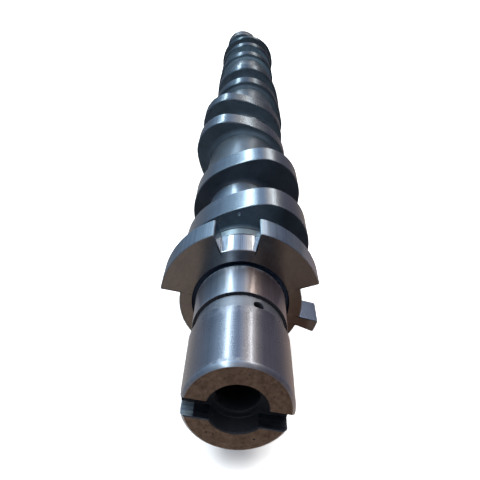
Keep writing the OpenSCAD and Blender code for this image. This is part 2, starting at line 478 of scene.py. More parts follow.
def ramp(nt, fac, stops):
    r = nt.nodes.new("ShaderNodeValToRGB")
    cr = r.color_ramp
    while len(cr.elements) > 1:
        cr.elements.remove(cr.elements[-1])
    cr.elements[0].position = stops[0][0]
    cr.elements[0].color = (*stops[0][1], 1)
    for p, col in stops[1:]:
        e = cr.elements.new(p)
        e.color = (*col, 1)
    nt.links.new(fac, r.inputs["Fac"])
    return r.outputs["Color"]


def math_node(nt, op, a, b=None, clamp=False):
    m = nt.nodes.new("ShaderNodeMath")
    m.operation = op
    m.use_clamp = clamp
    for k, v in enumerate((a, b)):
        if v is None:
            continue
        if isinstance(v, (int, float)):
            m.inputs[k].default_value = v
        else:
            nt.links.new(v, m.inputs[k])
    return m.outputs[0]


def mapped(nt, sx, sy, sz):
    tc = nt.nodes.new("ShaderNodeTexCoord")
    mp = nt.nodes.new("ShaderNodeMapping")
    mp.inputs["Scale"].default_value = (sx, sy, sz)
    nt.links.new(tc.outputs["Object"], mp.inputs["Vector"])
    return mp.outputs["Vector"]


def across(nt):
    """(x, z, distance from the shaft's axis), in metres"""
    tc = nt.nodes.new("ShaderNodeTexCoord")
    sep = nt.nodes.new("ShaderNodeSeparateXYZ")
    nt.links.new(tc.outputs["Object"], sep.inputs[0])
    r2 = math_node(nt, "ADD", math_node(nt, "MULTIPLY", sep.outputs["X"], sep.outputs["X"]),
                   math_node(nt, "MULTIPLY", sep.outputs["Z"], sep.outputs["Z"]))
    return sep.outputs["X"], sep.outputs["Z"], math_node(nt, "SQRT", r2)


def vec3(nt, x, y, z):
    c = nt.nodes.new("ShaderNodeCombineXYZ")
    for k, v in enumerate((x, y, z)):
        if isinstance(v, (int, float)):
            c.inputs[k].default_value = v
        else:
            nt.links.new(v, c.inputs[k])
    return c.outputs[0]


def bump(nt, height, strength, distance, normal=None):
    b = nt.nodes.new("ShaderNodeBump")
    b.inputs["Strength"].default_value = strength
    b.inputs["Distance"].default_value = distance
    nt.links.new(height, b.inputs["Height"])
    if normal is not None:
        nt.links.new(normal, b.inputs["Normal"])
    return b.outputs["Normal"]


def base_mat(name):
    m = bpy.data.materials.new(name)
    m.use_nodes = True
    nt = m.node_tree
    b = nt.nodes["Principled BSDF"]
    return m, nt, b


def tangent(nt, b):
    t = nt.nodes.new("ShaderNodeTangent")
    t.direction_type = "RADIAL"
    t.axis = "Y"
    nt.links.new(t.outputs[0], b.inputs["Tangent"])


def along_shaft_ramp(nt, stops):
    """A ramp by the distance along the shaft, which places painted light and shade and the change in gloss: stops are
    (metres, 0 to 1)
    """
    tc = nt.nodes.new("ShaderNodeTexCoord")
    sep = nt.nodes.new("ShaderNodeSeparateXYZ")
    nt.links.new(tc.outputs["Object"], sep.inputs[0])
    fac = math_node(nt, "MULTIPLY", sep.outputs["Y"], 2.0)
    return ramp(nt, fac, [(2 * y, (v, v, v)) for y, v in stops])


# ramps along the shaft, in this order: for the far shaft's painted shade and the far cams' gloss; for the far cams'
# painted shade; for the far cast faces' painted light
FAR_RAMP = [(0.09, 0), (0.22, 1)]
CAM_FAR_SHADE = [(0.09, 0), (0.22, 0.83), (0.28, 0.83), (0.33, 1)]
CAST_FAR_LIGHT = [(0.09, 0), (0.14, 0.3), (0.27, 0.35), (0.33, 1)]


def ground_metal(name, dark, light, rough, aniso, rings=0.12, lay=0.3, far=None, fine_lay=None, warm_light_tint=None, light_and_shade=None, scuff=()):
    """Ground steel: fine rings round the shaft, faint bands along it, and a
    little random change in tone and gloss. The highlight is drawn out along the shaft.
    far is a tint that the tone is multiplied by at the far cylinders: painted shade, dimming them."""
    m, nt, b = base_mat(name)
    b.inputs["Metallic"].default_value = 1.0
    b.inputs["Anisotropic"].default_value = aniso
    b.inputs["Anisotropic Rotation"].default_value = 0.25
    tangent(nt, b)
    fine = noise(nt, mapped(nt, 9, 8000, 9), 1.0, 2.0)
    mid = noise(nt, mapped(nt, 14, 1500, 14), 1.0, 3.0)
    blot = noise(nt, mapped(nt, 1, 1, 1), 110.0, 5.0, 0.6)
    along = noise(nt, mapped(nt, 750, 14, 750), 1.0, 3.0, 0.6)
    tone = math_node(nt, "ADD", math_node(nt, "MULTIPLY", mid, 0.16),
                     math_node(nt, "ADD", math_node(nt, "MULTIPLY", blot, 0.46), math_node(nt, "MULTIPLY", along, 0.38)))
    col = ramp(nt, tone, [(0.34, dark), (0.66, light)])
    if far:
        # painted shade: the tone darkened towards the far cylinders
        mix = nt.nodes.new("ShaderNodeMix")
        mix.data_type = "RGBA"
        nt.links.new(along_shaft_ramp(nt, CAM_FAR_SHADE), mix.inputs[0])
        nt.links.new(col, mix.inputs[6])
        nt.links.new(ramp(nt, tone, [(0.34, tuple(a * t for a, t in zip(dark, far))),
                                     (0.66, tuple(a * t for a, t in zip(light, far)))]), mix.inputs[7])
        col = mix.outputs[2]
    if fine_lay:
        # fine tool lines along the shaft, lighter and darker
        scale, low, high = fine_lay
        hair = noise(nt, mapped(nt, scale, 10, scale), 1.0, 3.0, 0.7)
        mix = nt.nodes.new("ShaderNodeMix")
        mix.data_type = "RGBA"
        mix.blend_type = "MULTIPLY"
        mix.inputs[0].default_value = 1.0
        nt.links.new(col, mix.inputs[6])
        nt.links.new(ramp(nt, hair, [(0.36, (low,) * 3), (0.5, (1, 1, 1)), (0.64, (high,) * 3)]), mix.inputs[7])
        col = mix.outputs[2]
    if warm_light_tint:
        # painted reflection: a warm tint right of the middle, on the +X side, standing in for warm light falling there
        x, z, rad = across(nt)
        patch = math_node(nt, "ADD", math_node(nt, "MULTIPLY", x, 60.0), math_node(nt, "MULTIPLY", blot, 0.2))
        mix = nt.nodes.new("ShaderNodeMix")
        mix.data_type = "RGBA"
        mix.blend_type = "MULTIPLY"
        nt.links.new(ramp(nt, patch, [(0.16, (0, 0, 0)), (0.26, (1, 1, 1)), (0.55, (0.9, 0.9, 0.9)), (0.90, (0.3, 0.3, 0.3))]), mix.inputs[0])
        nt.links.new(col, mix.inputs[6])
        mix.inputs[7].default_value = (*warm_light_tint, 1)
        col = mix.outputs[2]
    if light_and_shade:
        # painted light and shade: brighter and darker places round the upper side, by their x in metres
        x, z, rad = across(nt)
        top = ramp(nt, math_node(nt, "MULTIPLY", z, 50.0), [(0.15, (0, 0, 0)), (0.35, (1, 1, 1))])
        place = math_node(nt, "ADD", math_node(nt, "MULTIPLY", x, 20.0),
                          math_node(nt, "ADD", math_node(nt, "MULTIPLY", blot, 0.03), 0.485))
        mix = nt.nodes.new("ShaderNodeMix")
        mix.data_type = "RGBA"
        mix.blend_type = "MULTIPLY"
        nt.links.new(top, mix.inputs[0])
        nt.links.new(col, mix.inputs[6])
        nt.links.new(ramp(nt, place, [(0.5 + 20 * at, tone) for at, tone in light_and_shade]), mix.inputs[7])
        col = mix.outputs[2]
    flecks = None
    for y0, y1, x0, x1, much in scuff:
        # a worn patch between y0 and y1 along the shaft, and x0 and x1 across
        tc = nt.nodes.new("ShaderNodeTexCoord")
        sep = nt.nodes.new("ShaderNodeSeparateXYZ")
        nt.links.new(tc.outputs["Object"], sep.inputs[0])
        part = ramp(nt, noise(nt, mapped(nt, 900, 1500, 900), 1.0, 4.0, 0.7), [(0.46, (0, 0, 0)), (0.60, (1, 1, 1))])
        for out, lo, hi, soft in ((sep.outputs["Y"], y0, y1, 0.0006), (sep.outputs["X"], x0, x1, 0.0015)):
            for edge, sign in ((lo, 1), (hi, -1)):
                ms = nt.nodes.new("ShaderNodeMapRange")
                ms.interpolation_type = "SMOOTHSTEP"
                ms.inputs["From Min"].default_value = edge - sign * soft
                ms.inputs["From Max"].default_value = edge + sign * soft
                nt.links.new(out, ms.inputs["Value"])
                part = math_node(nt, "MULTIPLY", part, ms.outputs[0])
        part = math_node(nt, "MULTIPLY", part, math_node(nt, "GREATER_THAN", sep.outputs["Z"], 0.0))
        part = math_node(nt, "MULTIPLY", part, much)
        flecks = part if flecks is None else math_node(nt, "MAXIMUM", flecks, part)
    if flecks is not None:
        mix = nt.nodes.new("ShaderNodeMix")
        mix.data_type = "RGBA"
        nt.links.new(flecks, mix.inputs[0])
        nt.links.new(col, mix.inputs[6])
        mix.inputs[7].default_value = (0.92, 0.95, 1.0, 1)
        col = mix.outputs[2]
    nt.links.new(col, b.inputs["Base Color"])
    rr = nt.nodes.new("ShaderNodeMapRange")
    rr.inputs["From Min"].default_value = 0.34
    rr.inputs["From Max"].default_value = 0.66
    rr.inputs["To Min"].default_value = rough - 0.03
    rr.inputs["To Max"].default_value = rough + 0.04
    nt.links.new(tone, rr.inputs["Value"])
    rough_out = rr.outputs[0]
    if far:
        rough_out = math_node(nt, "ADD", rough_out, math_node(nt, "MULTIPLY", along_shaft_ramp(nt, FAR_RAMP), 0.04))
    if flecks is not None:
        rough_out = math_node(nt, "ADD", rough_out, math_node(nt, "MULTIPLY", flecks, 0.30))
    nt.links.new(rough_out, b.inputs["Roughness"])
    n1 = bump(nt, fine, rings, 0.000008)
    n2 = bump(nt, mid, rings * 0.15, 0.000012, n1)
    n3 = bump(nt, along, lay, 0.00001, n2)
    if flecks is not None:
        n3 = bump(nt, flecks, 0.8, 0.00005, n3)
    nt.links.new(n3, b.inputs["Normal"])
    return m


def milled_metal(name, dark, light, rough):
    """Milled slot: tool lines along the slot, one behind another. It is painted
    dark, as shade, but for the -X end, which is painted lit, where light falls in at the slot's open end."""
    m, nt, b = base_mat(name)
    b.inputs["Metallic"].default_value = 1.0
    x, z, rad = across(nt)
    # painted light: mask of the lit -X end; the rest takes the painted dark tones
    lit_end = nt.nodes.new("ShaderNodeMapRange")
    lit_end.interpolation_type = "SMOOTHSTEP"
    lit_end.inputs["From Min"].default_value = -0.0094
    lit_end.inputs["From Max"].default_value = -0.0097
    nt.links.new(x, lit_end.inputs["Value"])
    lines = noise(nt, mapped(nt, 40, 1700, 40), 1.0, 2.0)
    blot = noise(nt, mapped(nt, 1, 1, 1), 500.0, 4.0, 0.6)
    tone = math_node(nt, "ADD", math_node(nt, "MULTIPLY", lines, 0.7), math_node(nt, "MULTIPLY", blot, 0.3))
    mix = nt.nodes.new("ShaderNodeMix")
    mix.data_type = "RGBA"
    nt.links.new(lit_end.outputs[0], mix.inputs[0])
    nt.links.new(ramp(nt, tone, [(0.36, (0.09, 0.10, 0.12)), (0.62, (0.16, 0.175, 0.205))]), mix.inputs[6])
    nt.links.new(ramp(nt, tone, [(0.36, dark), (0.62, light)]), mix.inputs[7])
    nt.links.new(mix.outputs[2], b.inputs["Base Color"])
    b.inputs["Roughness"].default_value = rough
    n1 = bump(nt, lines, 0.8, 0.00006)
    nt.links.new(bump(nt, blot, 0.3, 0.00004, n1), b.inputs["Normal"])
    return m


def cast_metal(name, dark, light, rough, metallic, grain=0.5, far=None, stops=FAR_RAMP, mid=None, side_light_and_shade=None):
    """As-cast iron: dark, slightly granular, with soft blotches. far is a pair
    of tones that it changes to along the shaft, by stops: painted light where they are lighter and bluer, on the far
    cams' faces, and painted shade where they are darker, on the far shaft. mid is a pair of lighter tones for the
    middle of the first faces: painted light.
    The tints by x in metres, for the upper side of the shaft behind the first pair of cams,
    are painted light and shade: lighter to -X, darker to +X."""
    m, nt, b = base_mat(name)
    b.inputs["Metallic"].default_value = metallic
    big = noise(nt, mapped(nt, 1, 1, 1), 160.0, 5.0, 0.6)
    small = noise(nt, mapped(nt, 1, 1, 1), 1900.0, 3.0, 0.6)
    tone = math_node(nt, "ADD", math_node(nt, "MULTIPLY", big, 0.65), math_node(nt, "MULTIPLY", small, 0.35))
    col = ramp(nt, tone, [(0.3, dark), (0.7, light)])
    if mid:
        # painted light: the middle of the first cams' faces lighter
        x, z, rad = across(nt)
        aside = math_node(nt, "MULTIPLY", math_node(nt, "ABSOLUTE", x), 50.0)
        middle = ramp(nt, aside, [(0.25, (1, 1, 1)), (0.62, (0, 0, 0))])
        mix = nt.nodes.new("ShaderNodeMix")
        mix.data_type = "RGBA"
        nt.links.new(math_node(nt, "MULTIPLY", middle, along_shaft_ramp(nt, [(0.06, 1), (0.085, 0.16)])), mix.inputs[0])
        nt.links.new(col, mix.inputs[6])
        nt.links.new(ramp(nt, tone, [(0.3, mid[0]), (0.7, mid[1])]), mix.inputs[7])
        col = mix.outputs[2]
    if far:
        # tones along the shaft: painted light where the far tones are lighter, painted shade where they are darker
        mix = nt.nodes.new("ShaderNodeMix")
        mix.data_type = "RGBA"
        nt.links.new(along_shaft_ramp(nt, stops), mix.inputs[0])
        nt.links.new(col, mix.inputs[6])
        nt.links.new(ramp(nt, tone, [(0.3, far[0]), (0.7, far[1])]), mix.inputs[7])
        col = mix.outputs[2]
    if side_light_and_shade:
        # painted light and shade: the upper side lighter to -X and darker to +X
        x, z, rad = across(nt)
        top = ramp(nt, math_node(nt, "MULTIPLY", z, 50.0), [(0.1, (0, 0, 0)), (0.3, (1, 1, 1))])
        place = math_node(nt, "ADD", math_node(nt, "MULTIPLY", x, 30.0), 0.5)
        mix = nt.nodes.new("ShaderNodeMix")
        mix.data_type = "RGBA"
        mix.blend_type = "MULTIPLY"
        nt.links.new(math_node(nt, "MULTIPLY", top, along_shaft_ramp(nt, [(0.09, 0), (0.10, 1), (0.15, 1), (0.21, 0.3)])), mix.inputs[0])
        nt.links.new(col, mix.inputs[6])
        nt.links.new(ramp(nt, place, [(0.5 + 30 * at, (t, t, t)) for at, t in side_light_and_shade]), mix.inputs[7])
        col = mix.outputs[2]
    nt.links.new(col, b.inputs["Base Color"])
    rr = nt.nodes.new("ShaderNodeMapRange")
    rr.inputs["From Min"].default_value = 0.3
    rr.inputs["From Max"].default_value = 0.7
    rr.inputs["To Min"].default_value = rough - 0.07
    rr.inputs["To Max"].default_value = rough + 0.08
    nt.links.new(tone, rr.inputs["Value"])
    nt.links.new(rr.outputs[0], b.inputs["Roughness"])
    n1 = bump(nt, small, grain, 0.00006)
    nt.links.new(bump(nt, big, grain * 0.6, 0.00025, n1), b.inputs["Normal"])
    return m


def turned_face(name, dark, light, rough, metallic, mottle=1.0, shade_tint=None):
    """A face turned on the lathe: fine rings about the axis under a matte,
    slightly mottled skin. The tint given for its +X side, growing downwards, is painted shade, and with it comes a
    painted darker spot at the top, next to the band."""
    m, nt, b = base_mat(name)
    b.inputs["Metallic"].default_value = metallic
    x, z, rad = across(nt)
    ringn = noise(nt, vec3(nt, math_node(nt, "MULTIPLY", rad, 5200.0), math_node(nt, "MULTIPLY", x, 25.0),
                           math_node(nt, "MULTIPLY", z, 25.0)), 1.0, 2.0)
    mott = noise(nt, mapped(nt, 1, 1, 1), 1500.0 / mottle, 5.0, 0.7)
    blot = noise(nt, mapped(nt, 1, 1, 1), 260.0, 4.0, 0.6)
    tone = math_node(nt, "ADD", math_node(nt, "MULTIPLY", mott, 0.5),
                     math_node(nt, "ADD", math_node(nt, "MULTIPLY", blot, 0.3), math_node(nt, "MULTIPLY", ringn, 0.2)))
    col = ramp(nt, tone, [(0.38, dark), (0.62, light)])
    if shade_tint:
        # painted shade: a tint of the +X side, growing downwards
        fx, fz = nt.nodes.new("ShaderNodeMapRange"), nt.nodes.new("ShaderNodeMapRange")
        for f, src, lo, hi in ((fx, x, 0.006, 0.0135), (fz, z, 0.014, -0.004)):
            f.interpolation_type = "SMOOTHSTEP"
            f.inputs["From Min"].default_value = lo
            f.inputs["From Max"].default_value = hi
            nt.links.new(src, f.inputs["Value"])
        edge = ramp(nt, math_node(nt, "MULTIPLY", x, 40.0), [(0.725, (1, 1, 1)), (0.785, (0, 0, 0))])
        mix = nt.nodes.new("ShaderNodeMix")
        mix.data_type = "RGBA"
        nt.links.new(math_node(nt, "MULTIPLY", math_node(nt, "MULTIPLY", fx.outputs[0], fz.outputs[0]), edge), mix.inputs[0])
        nt.links.new(col, mix.inputs[6])
        nt.links.new(ramp(nt, tone, [(0.38, tuple(a * t for a, t in zip(dark, shade_tint))),
                                     (0.62, tuple(a * t for a, t in zip(light, shade_tint)))]), mix.inputs[7])
        # painted shade: a darker spot at the top of the face, next to the band, dimming its reflection there
        dx = math_node(nt, "MULTIPLY", math_node(nt, "ADD", x, 0.0006), 0.8)
        dz = math_node(nt, "SUBTRACT", z, 0.0155)
        near = math_node(nt, "SQRT", math_node(nt, "ADD", math_node(nt, "MULTIPLY", dx, dx), math_node(nt, "MULTIPLY", dz, dz)))
        shade_spot = nt.nodes.new("ShaderNodeMix")
        shade_spot.data_type = "RGBA"
        shade_spot.blend_type = "MULTIPLY"
        shade_spot.inputs[0].default_value = 1.0
        nt.links.new(mix.outputs[2], shade_spot.inputs[6])
        nt.links.new(ramp(nt, math_node(nt, "MULTIPLY", near, 100.0),
                          [(0.10, (0.47, 0.51, 0.59)), (0.28, (0.70, 0.75, 0.84)), (0.45, (1, 1, 1))]), shade_spot.inputs[7])
        col = shade_spot.outputs[2]
    nt.links.new(col, b.inputs["Base Color"])
    b.inputs["Roughness"].default_value = rough
    n1 = bump(nt, ringn, 0.31, 0.00002)
    nt.links.new(bump(nt, mott, 0.3, 0.00004, n1), b.inputs["Normal"])
    return m


# painted light and shade on the rim's upper side, as (x in metres, tint): a painted highlight just right of the notch,
# painted shade right of it, lighter again towards the +X edge, and a little darker left of the notch
RIM_LIGHT_AND_SHADE = [(-0.0160, (1.0, 1.0, 1.0)), (-0.0100, (0.92, 0.92, 0.92)), (-0.0065, (0.80, 0.80, 0.80)),
            (0.0050, (1.6, 1.6, 1.6)), (0.0060, (1.45, 1.45, 1.5)), (0.0075, (0.66, 0.72, 0.82)),
            (0.0108, (0.70, 0.77, 0.86)), (0.0128, (0.97, 0.98, 1.0)), (0.0155, (1.25, 1.2, 1.1)),
            (0.0170, (2.0, 1.85, 1.55))]

MATS = [
    ground_metal(SLOTS[0], (0.44, 0.45, 0.48), (0.56, 0.57, 0.60), 0.28, 0.97, rings=0.05, lay=0.10,
                 fine_lay=(2600, 0.93, 1.06),
                 scuff=[(-0.0102, -0.0088, -0.0090, 0.0010, 0.6), (0.0080, 0.0108, -0.0100, 0.0050, 0.35)]),
    # ground cam: its far tint is painted shade on the far cams
    ground_metal(SLOTS[1], (0.37, 0.43, 0.47), (0.47, 0.53, 0.57), 0.24, 0.95, rings=0.04, lay=0.05, far=(0.25, 0.31, 0.33)),
    # as-cast side: far is painted light, lighter and bluer on the far faces; mid is painted light on the middle of the
    # first faces
    cast_metal(SLOTS[2], (0.008, 0.012, 0.019), (0.020, 0.028, 0.042), 0.5, 0.6,
               far=((0.050, 0.083, 0.110), (0.085, 0.132, 0.170)), stops=CAST_FAR_LIGHT,
               mid=((0.028, 0.046, 0.067), (0.070, 0.109, 0.151))),
    # turned face: its tint is painted shade on the +X side, with a painted darker spot by the band
    turned_face(SLOTS[3], (0.24, 0.24, 0.24), (0.33, 0.32, 0.31), 0.17, 1.0, shade_tint=(0.60, 0.48, 0.44)),
    ground_metal(SLOTS[4], (0.42, 0.44, 0.47), (0.54, 0.56, 0.58), 0.50, 0.5),
    # as-cast shaft: far is painted shade at the far end; the tints by x are a painted highlight on the -X side and
    # painted shade on the +X side
    cast_metal(SLOTS[5], (0.082, 0.107, 0.13), (0.145, 0.185, 0.22), 0.33, 0.85, 0.35,
               far=((0.060, 0.082, 0.098), (0.10, 0.13, 0.152)),
               side_light_and_shade=[(-0.0110, 1.3), (-0.0040, 1.5), (0.0, 1.3), (0.0025, 0.95), (0.0055, 0.58), (0.0100, 0.55), (0.0125, 0.8)]),
    # undercut: near-black, painted shade for the recesses it lines: the groove's undercut, the slot, the counterbore,
    # the oil hole and the pits
    cast_metal(SLOTS[6], (0.008, 0.009, 0.012), (0.015, 0.017, 0.022), 0.6, 0.5, 0.2),
    cast_metal(SLOTS[7], (0.03, 0.034, 0.042), (0.06, 0.068, 0.08), 0.42, 0.8, 0.3),
    # turned rim: its tints by x are painted light and shade
    ground_metal(SLOTS[8], (0.44, 0.53, 0.60), (0.56, 0.66, 0.74), 0.52, 0.8, lay=0.15,
                 fine_lay=(2600, 0.88, 1.10), light_and_shade=RIM_LIGHT_AND_SHADE),
    turned_face(SLOTS[9], (0.15, 0.118, 0.092), (0.40, 0.33, 0.275), 0.4, 1.0, 1.6),
    turned_face(SLOTS[10], (0.27, 0.35, 0.48), (0.34, 0.44, 0.58), 0.18, 1.0),
    # milled slot: painted light at its -X end, painted shade elsewhere
    milled_metal(SLOTS[11], (0.40, 0.50, 0.60), (0.90, 1.0, 1.0), 0.5),
    # ground band: its warm tint is painted reflection of warm light on the +X side
    ground_metal(SLOTS[12], (0.68, 0.72, 0.76), (0.82, 0.86, 0.90), 0.33, 0.96, rings=0.05, lay=0.10,
                 fine_lay=(2600, 0.90, 1.06), warm_light_tint=(1.0, 0.80, 0.70),
                 scuff=[(0.0280, 0.0294, -0.0120, 0.0120, 1.0), (0.0165, 0.0180, -0.0120, -0.0020, 0.4)]),
    ground_metal(SLOTS[13], (0.58, 0.62, 0.65), (0.70, 0.74, 0.77), 0.17, 0.9, fine_lay=(2400, 0.72, 1.12)),
    ground_metal(SLOTS[14], (0.80, 0.94, 0.98), (0.90, 1.0, 1.0), 0.60, 0.97, rings=0.05, lay=0.2),
    turned_face(SLOTS[15], (0.24, 0.30, 0.37), (0.31, 0.38, 0.46), 0.14, 1.0),
    ground_metal(SLOTS[16], (0.50, 0.55, 0.60), (0.80, 0.85, 0.90), 0.34, 0.85, rings=0.05, lay=0.5),
    # bore: dark tone, painted shade for the deep bore
    cast_metal(SLOTS[17], (0.019, 0.020, 0.027), (0.029, 0.031, 0.040), 0.5, 0.6, 0.2),
    # wheel undercut: near-black navy, painted shade for the undercut in the wheel's face
    cast_metal(SLOTS[18], (0.010, 0.020, 0.042), (0.016, 0.032, 0.062), 0.5, 0.5, 0.2),
    ground_metal(SLOTS[19], (0.62, 0.71, 0.78), (0.77, 0.86, 0.92), 0.30, 0.96, rings=0.05, lay=0.06),
]

# ------------------------------------------------------------------ assembly
body = new_object("camshaft body", lathe_mesh("camshaft body"))
for m in MATS:
    body.data.materials.append(m)

half = SLOT_W / 2
z0 = -SLOT_OFF
cutters = [
    ("bore", turned_cutter("bore", [
        (0, -2), (CBORE_R + 2.28, -2), (CBORE_R + 0.28, 0), (CBORE_R, 0.28), (CBORE_R, 4.62),
        (CBORE_R - 0.18, 4.8), (BORE_R + 0.25, 4.8), (BORE_R, 5.05), (BORE_R, 32.2), (BORE_R - 0.8, 33.4), (0, 34.0)],
        [DARK] * 7 + [BORE] * 3)),
    ("slot", prism_cutter("slot", [
        (-2, z0 - half - 2.22), (0, z0 - half - 0.22), (0.22, z0 - half), (SLOT_D - 0.25, z0 - half), (SLOT_D, z0 - half + 0.25),
        (SLOT_D, z0 + half - 0.25), (SLOT_D - 0.25, z0 + half), (0.22, z0 + half), (0, z0 + half + 0.22), (-2, z0 + half + 2.22)],
        -14, 14, [NECK, NECK, MILLED, DARK, DARK, DARK, NECK, ENDFACE, ENDFACE, DARK], SLOT_A)),
]


def cut(target, name, me):
    ob = new_object(name, me)
    for m in MATS:
        me.materials.append(m)
    mod = target.modifiers.new(name, "BOOLEAN")
    mod.operation = "DIFFERENCE"
    mod.solver = "MANIFOLD"
    mod.object = ob
    dg = bpy.context.evaluated_depsgraph_get()
    ev = target.evaluated_get(dg)
    me2 = bpy.data.meshes.new_from_object(ev)
    target.modifiers.clear()
    old = target.data
    target.data = me2
    bpy.data.meshes.remove(old)
    bpy.data.objects.remove(ob)


def radial_hole(name, y, angle, r, flare, surface_r, depth_r, mat, n=48):
    """Round hole from outside towards the axis, flared where it breaks out."""
    bm = bmesh.new()
    prof = [(0, surface_r + 3), (r + flare + 3, surface_r + 3), (r + flare, surface_r), (r, surface_r - flare), (r, depth_r), (0, depth_r)]
    loops = []
    for rr, h in prof:
        if rr == 0:
            loops.append([bm.verts.new((0, 0, h * 0.001))])
        else:
            loops.append([bm.verts.new((rr * math.cos(2 * math.pi * k / n) * 0.001, rr * math.sin(2 * math.pi * k / n) * 0.001, h * 0.001)) for k in range(n)])
    for A, B in zip(loops, loops[1:]):
        for k in range(n):
            k2 = (k + 1) % n
            if len(A) == 1:
                bm.faces.new((A[0], B[k], B[k2]))
            elif len(B) == 1:
                bm.faces.new((A[k], B[0], A[k2]))
            else:
                bm.faces.new((A[k], B[k], B[k2], A[k2]))
    bmesh.ops.recalc_face_normals(bm, faces=bm.faces)
    for f in bm.faces:
        f.material_index = mat
    me = bpy.data.meshes.new(name)
    bm.to_mesh(me)
    bm.free()
    me.transform(Matrix.Translation((0, (y - DATUM) * 0.001, 0)) @ Matrix.Rotation(math.radians(90 - angle), 4, "Y"))
    return me


cutters.append(("oil hole", radial_hole("oil hole", OIL_Y, OIL_A, OIL_R, 0.15, 11.33, 2.0, DARK)))

# threaded hole in the far end: rings at the pitch of an M10 thread
prof = [(0, TOTAL + 2), (5.3 + 2, TOTAL + 2), (5.3, TOTAL), (4.3, TOTAL - 1.0)]
y = TOTAL - 1.0
while y > TOTAL - 22:
    prof += [(4.27, y - 0.12), (4.95, y - 0.66), (4.95, y - 0.84), (4.27, y - 1.38)]
    y -= 1.5
prof += [(4.25, TOTAL - 23.0), (4.25, TOTAL - 24.6), (0, TOTAL - 26.0)]
cutters.append(("bolt hole", turned_cutter("bolt hole", prof, NECK, 64)))



def pit(name, at, r, mat, flat=1.0):
    """Small round pit or nick: a ball of radius r centred at (x, y, z) in mm,
    squashed along the shaft by flat."""
    bm = bmesh.new()
    bmesh.ops.create_icosphere(bm, subdivisions=2, radius=r * 0.001)
    for f in bm.faces:
        f.material_index = mat
    me = bpy.data.meshes.new(name)
    bm.to_mesh(me)
    bm.free()
    me.transform(Matrix.Translation((at[0] * 0.001, (at[1] - DATUM) * 0.001, at[2] * 0.001)) @ Matrix.Diagonal((1, flat, 1, 1)))
    return me


# pits in the end face, centre punch marks in the first cam's face, and nicks in
# the band, the wheel's corners and the slot's edges
for k, (at, r, mat) in enumerate((
    ((-6.65, -0.12, -6.55), 0.28, DARK), ((-5.2, -0.16, -7.1), 0.25, DARK), ((3.8, -0.10, -8.3), 0.29, DARK),
    ((-3.2, -0.13, -9.4), 0.20, DARK), ((6.9, -0.13, -7.4), 0.21, DARK), ((2.3, -0.13, 9.6), 0.20, DARK),
    ((7.6, -0.13, 3.9), 0.19, DARK), ((5.45, 22.85, 10.32), 0.45, RIM),
    ((-1.17, 61.25, 17.15), 0.62, RIM), ((-6.74, 61.3, 14.9), 0.34, SHAFT),
    ((-11.15, 40.1, 5.85), 0.55, RIM), ((-3.7, 39.9, 11.92), 0.42, RIM), ((-1.3, 40.05, 12.42), 0.38, RIM),
    ((-8.75, 0.35, 9.1), 0.42, RIM), ((9.6, 20.9, 8.5), 0.40, DARK), ((-9.4, 21.0, 8.9), 0.36, DARK),
)):
    cutters.append(("mark_%d" % k, pit("mark_%d" % k, at, r, mat)))

for name, me in cutters:
    cut(body, name, me)

# clean up after the cuts, and shade: sharp where two faces meet at an edge
bm = bmesh.new()
bm.from_mesh(body.data)
bmesh.ops.remove_doubles(bm, verts=bm.verts, dist=2e-7)
bmesh.ops.dissolve_degenerate(bm, edges=bm.edges, dist=1e-7)
bm.to_mesh(body.data)
bm.free()
me = body.data
me.polygons.foreach_set("use_smooth", np.ones(len(me.polygons), bool))
me.set_sharp_from_angle(angle=math.radians(38))
wn = body.modifiers.new("weighted", "WEIGHTED_NORMAL")
wn.keep_sharp = True
wn.weight = 60
dg = bpy.context.evaluated_depsgraph_get()
me2 = bpy.data.meshes.new_from_object(body.evaluated_get(dg))
body.modifiers.clear()
body.data = me2
body.name = "camshaft"
body.data.name = "camshaft"

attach(body, "root")
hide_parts("camshaft")

# --------------------------------------------------------------------- stage
floor_z = CAD_BOX[0][2]
bpy.ops.mesh.primitive_plane_add(size=30, location=(0, 6, floor_z))
floor = bpy.context.object
floor.name = "floor"
fm, nt, b = base_mat("pale floor")
b.inputs["Base Color"].default_value = (0.86, 0.855, 0.845, 1)
b.inputs["Roughness"].default_value = 0.9
b.inputs["Specular IOR Level"].default_value = 0.1
floor.data.materials.append(fm)
floor.visible_glossy = False


def area(name, loc, target, sx, sy, power, col, glossy=True, diffuse=True):
    li = bpy.data.lights.new(name, "AREA")
    li.shape = "RECTANGLE"
    li.size, li.size_y = sx, sy
    li.energy = power
    li.color = col
    ob = bpy.data.objects.new(name, li)
    bpy.context.scene.collection.objects.link(ob)
    ob.location = loc
    d = Vector(target) - Vector(loc)
    # local x across the strip, local y along the shaft
    zax = -d.normalized()
    yax = Vector((0, 1, 0))
    xax = yax.cross(zax).normalized()
    yax = zax.cross(xax)
    ob.matrix_world = Matrix.Translation(loc) @ Matrix((xax, yax, zax)).transposed().to_4x4()
    ob.visible_glossy = glossy
    ob.visible_diffuse = diffuse
    return ob


def strip(name, angle, dist, width, power, col, y0=-2.4, y1=10.8, **kw):
    a = math.radians(angle)
    ym = (y0 + y1) / 2
    return area(name, (dist * math.cos(a), ym, dist * math.sin(a)), (0, ym, 0), width, y1 - y0, power, col, **kw)


